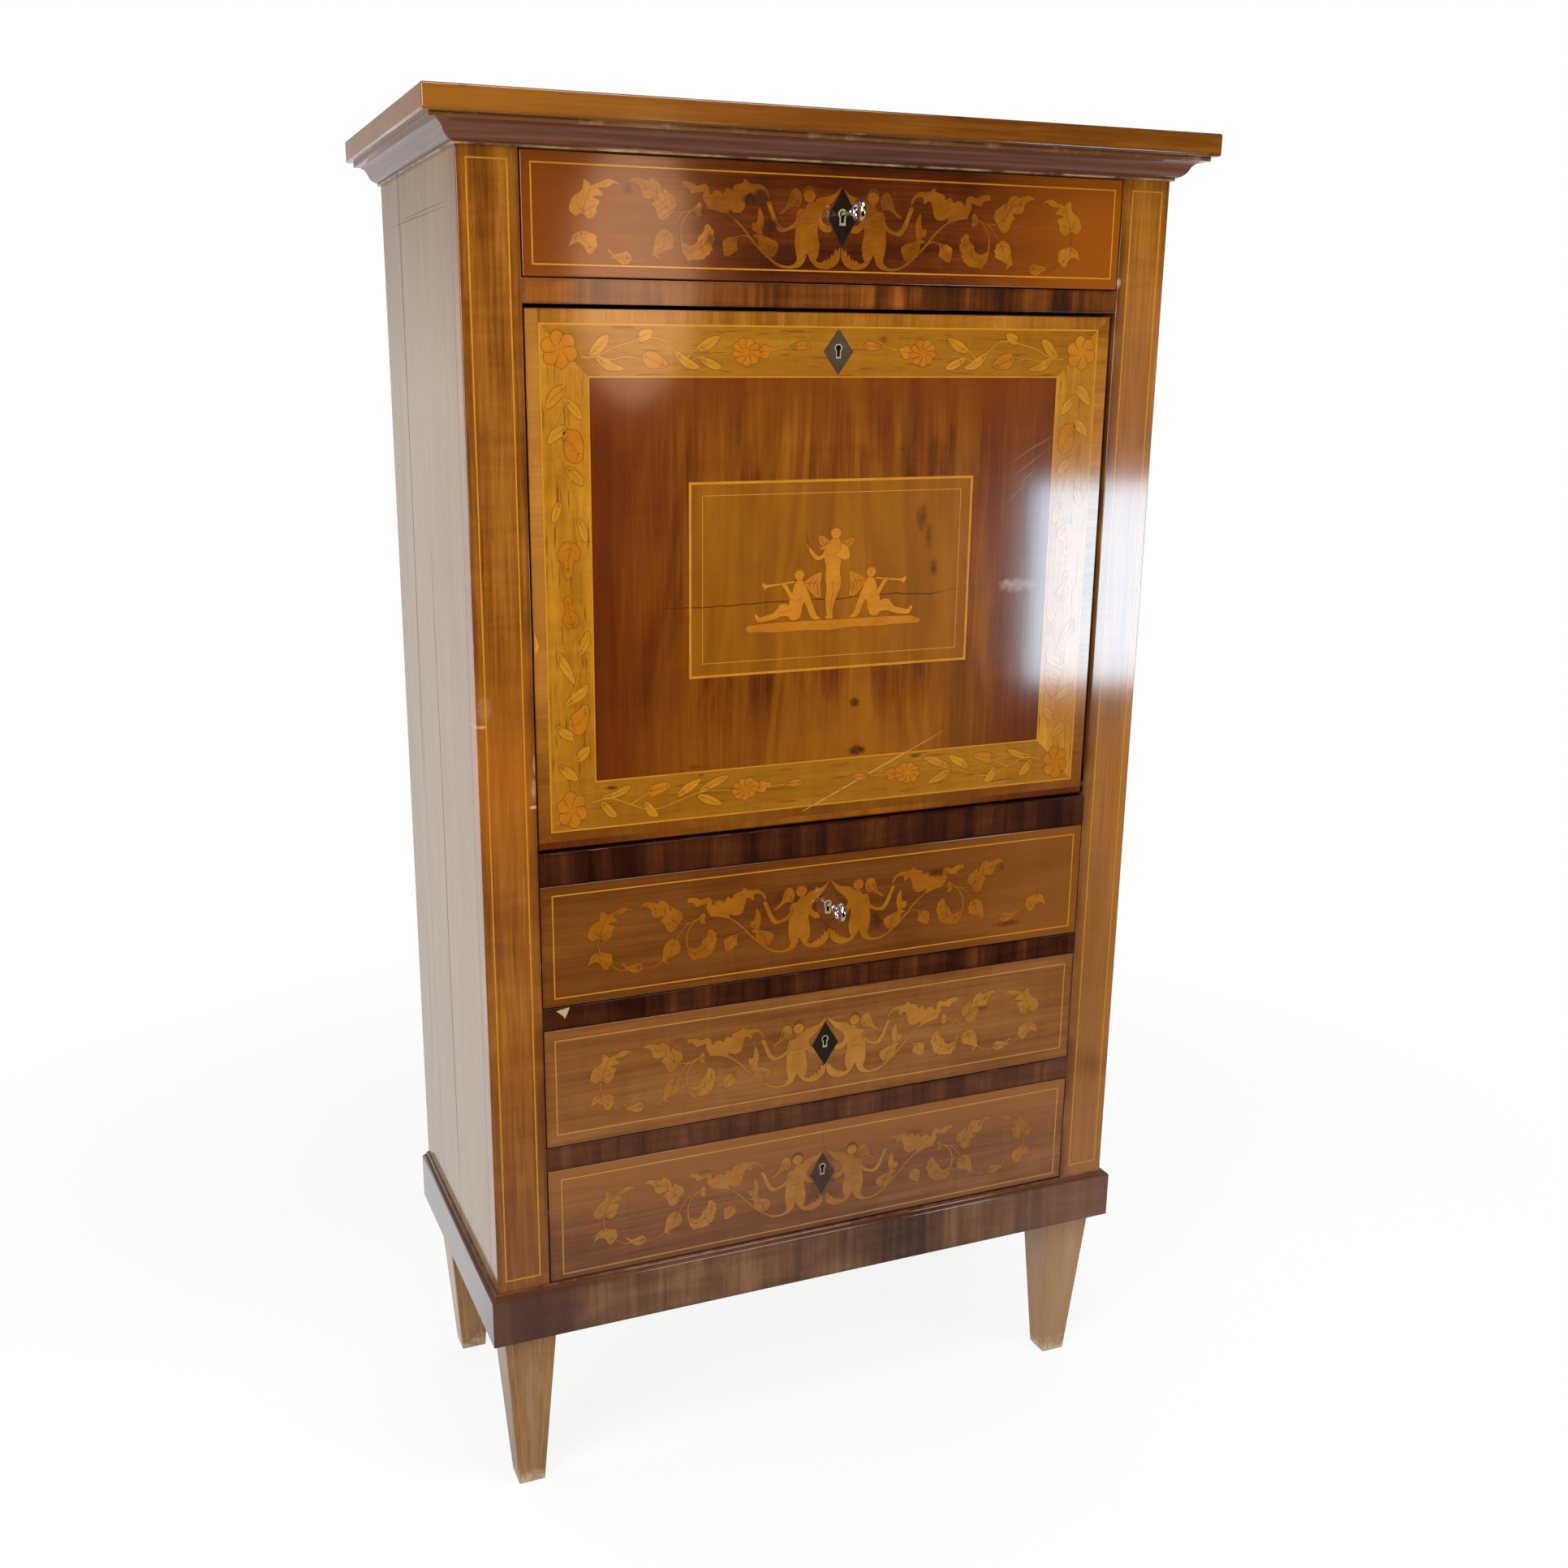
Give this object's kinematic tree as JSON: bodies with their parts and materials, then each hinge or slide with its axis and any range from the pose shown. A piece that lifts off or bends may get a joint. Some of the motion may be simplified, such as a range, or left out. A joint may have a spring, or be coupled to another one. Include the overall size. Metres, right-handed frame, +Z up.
{
  "type": "drop-front escritoire",
  "caption": "Drop-front writing cabinet: tall case on square tapered legs, falling flap over a fitted interior, locking drawers above and below it, moulded cornice and plinth.",
  "frame": {"origin": "On the floor under the middle of the overall box, which runs from the bow of the upper key, just ahead of the top board, to the back of the case.", "axes": "+Z up, +X to the right of someone facing the front, +Y from the front to the back."},
  "size_m": [0.866, 0.4134, 1.5037],
  "materials": {
    "slab_wood": "polished mahogany board, horizontal grain",
    "cornice_wood": "dark red polished mahogany moulding",
    "side_veneer": "polished mahogany veneer, upright grain",
    "pilaster_veneer": "polished mahogany veneer with light stringing",
    "rail_veneer": "dark cross-grained mahogany",
    "plinth_wood": "dull purple-brown mahogany",
    "leg_wood": "worn mahogany with light stringing",
    "carcase_wood": "plain sawn secondary timber",
    "interior_wood": "satin mahogany and fruitwood",
    "flap_veneer": "polished figured mahogany veneer with marquetry",
    "writing_leather": "tooled green writing leather",
    "brass": "aged satin brass",
    "lock_steel": "dull wrought steel",
    "key_nickel": "polished nickel plate",
    "drawer_1_veneer": "polished red-brown mahogany veneer with marquetry",
    "drawer_2_veneer": "polished mahogany veneer with marquetry",
    "drawer_3_veneer": "polished mahogany veneer with marquetry",
    "drawer_4_veneer": "worn mahogany veneer with marquetry",
    "drawer_oak": "plain oak drawer linings"
  },
  "bodies": {
    "case": {"top_board": "slab_wood", "cornice_front": "cornice_wood", "cornice_left": "cornice_wood", "cornice_right": "cornice_wood", "left_side": "side_veneer", "right_side": "side_veneer", "left_pilaster": "pilaster_veneer", "right_pilaster": "pilaster_veneer", "top_rail": "rail_veneer", "upper_rail": "rail_veneer", "flap_rail": "rail_veneer", "middle_rail": "rail_veneer", "lower_rail": "rail_veneer", "bottom_sill": "rail_veneer", "plinth_front": "plinth_wood", "plinth_left": "plinth_wood", "plinth_right": "plinth_wood", "plinth_back": "plinth_wood", "leg_front_left": "leg_wood", "leg_front_right": "leg_wood", "leg_rear_left": "leg_wood", "leg_rear_right": "leg_wood", "back_boards": "carcase_wood", "bottom_board": "carcase_wood", "dust_boards": "carcase_wood", "drawer_guides": "carcase_wood", "compartment_ceiling": "carcase_wood", "compartment_floor": "interior_wood", "unit_sides": "interior_wood", "unit_dividers": "interior_wood", "unit_shelves": "interior_wood", "pivot_sockets": "brass"},
    "flap": {"flap_panel": "flap_veneer", "writing_leather": "writing_leather", "flap_lock": "lock_steel", "flap_pivots": "brass", "flap_stays": "brass"},
    "drawer_1": {"drawer_1_front": "drawer_1_veneer", "drawer_1_box": "drawer_oak", "drawer_1_lock": "lock_steel"},
    "drawer_2": {"drawer_2_front": "drawer_2_veneer", "drawer_2_box": "drawer_oak", "drawer_2_lock": "lock_steel"},
    "drawer_3": {"drawer_3_front": "drawer_3_veneer", "drawer_3_box": "drawer_oak", "drawer_3_lock": "lock_steel"},
    "drawer_4": {"drawer_4_front": "drawer_4_veneer", "drawer_4_box": "drawer_oak", "drawer_4_lock": "lock_steel"},
    "key_1": {"drawer_1_key": "key_nickel"},
    "bolt_1": {"drawer_1_bolt": "lock_steel"},
    "key_2": {"drawer_2_key": "key_nickel"},
    "bolt_2": {"drawer_2_bolt": "lock_steel"},
    "inner_drawer_left": {"inner_drawer_left": "interior_wood", "inner_drawer_left_knob": "brass"},
    "inner_drawer_centre": {"inner_drawer_centre": "interior_wood", "inner_drawer_centre_knob": "brass"},
    "inner_drawer_right": {"inner_drawer_right": "interior_wood", "inner_drawer_right_knob": "brass"}
  },
  "joints": [
    {"name": "flap_fall", "type": "hinge", "parent": "case", "child": "flap", "pos_m": [0, -0.1473, 0.782], "axis": [1, 0, 0], "range_deg": [0, 90]},
    {"name": "drawer_1_slide", "type": "slide", "parent": "case", "child": "drawer_1", "axis": [0, -1, 0], "range_m": [0, 0.28]},
    {"name": "drawer_2_slide", "type": "slide", "parent": "case", "child": "drawer_2", "axis": [0, -1, 0], "range_m": [0, 0.28]},
    {"name": "drawer_3_slide", "type": "slide", "parent": "case", "child": "drawer_3", "axis": [0, -1, 0], "range_m": [0, 0.28]},
    {"name": "drawer_4_slide", "type": "slide", "parent": "case", "child": "drawer_4", "axis": [0, -1, 0], "range_m": [0, 0.28]},
    {"name": "inner_drawer_left_slide", "type": "slide", "parent": "case", "child": "inner_drawer_left", "axis": [0, -1, 0], "range_m": [0, 0.1]},
    {"name": "inner_drawer_centre_slide", "type": "slide", "parent": "case", "child": "inner_drawer_centre", "axis": [0, -1, 0], "range_m": [0, 0.1]},
    {"name": "inner_drawer_right_slide", "type": "slide", "parent": "case", "child": "inner_drawer_right", "axis": [0, -1, 0], "range_m": [0, 0.1]},
    {"name": "key_1_turn", "type": "hinge", "parent": "drawer_1", "child": "key_1", "pos_m": [0, -0.1583, 1.411], "axis": [0, 1, 0], "range_deg": [0, 180]},
    {"name": "bolt_1_slide", "type": "slide", "parent": "drawer_1", "child": "bolt_1", "axis": [0, 0, 1], "range_m": [0, 0.009]},
    {"name": "key_2_turn", "type": "hinge", "parent": "drawer_2", "child": "key_2", "pos_m": [0, -0.1583, 0.677], "axis": [0, 1, 0], "range_deg": [0, 180]},
    {"name": "bolt_2_slide", "type": "slide", "parent": "drawer_2", "child": "bolt_2", "axis": [0, 0, 1], "range_m": [0, 0.009]}
  ],
  "couplings": [
    {"joint": "key_1_turn", "follows": "bolt_1_slide", "rad_per_m": 349},
    {"joint": "key_2_turn", "follows": "bolt_2_slide", "rad_per_m": 349}
  ]
}
